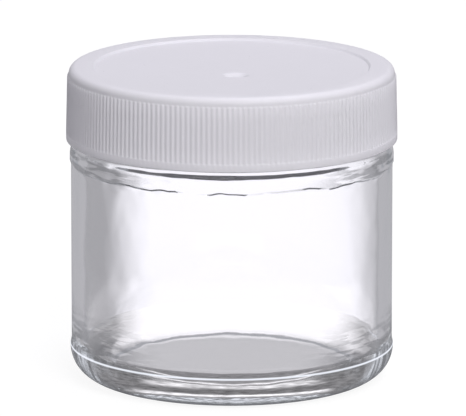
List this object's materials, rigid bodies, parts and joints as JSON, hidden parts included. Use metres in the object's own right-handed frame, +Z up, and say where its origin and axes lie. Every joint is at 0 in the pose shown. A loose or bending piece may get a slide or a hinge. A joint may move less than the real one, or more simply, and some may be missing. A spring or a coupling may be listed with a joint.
{
  "type": "wide mouth glass jar",
  "caption": "Short straight-sided clear glass jar with a wide threaded neck, a ribbed white screw cap and a foam liner disc in the cap.",
  "frame": {"origin": "middle of the jar's foot, on the surface that it stands on", "axes": "+Z up along the jar's axis, which is also the axis that the cap screws on; +Y away from the viewer of the picture"},
  "size_m": [0.0564, 0.0564, 0.054],
  "materials": {
    "clear_glass": "clear and smooth, pressed in a mould",
    "liner_foam": "matt foamed polyethylene",
    "white_plastic": "satin moulded polypropylene"
  },
  "bodies": {
    "jar": {"glass_jar": "clear_glass"},
    "liner": {"cap_liner": "liner_foam"},
    "cap": {"screw_cap": "white_plastic"}
  },
  "joints": [
    {"name": "cap_lift", "type": "slide", "parent": "jar", "child": "liner", "axis": [0, 0, 1], "range_m": [0, 0.0127]},
    {"name": "cap_turn", "type": "hinge", "parent": "liner", "child": "cap", "pos_m": [0, 0, 0.0414], "axis": [0, 0, 1], "range_deg": [0, 1080]}
  ],
  "couplings": [
    {"joint": "cap_lift", "follows": "cap_turn", "m_per_rad": 0.00067375}
  ]
}
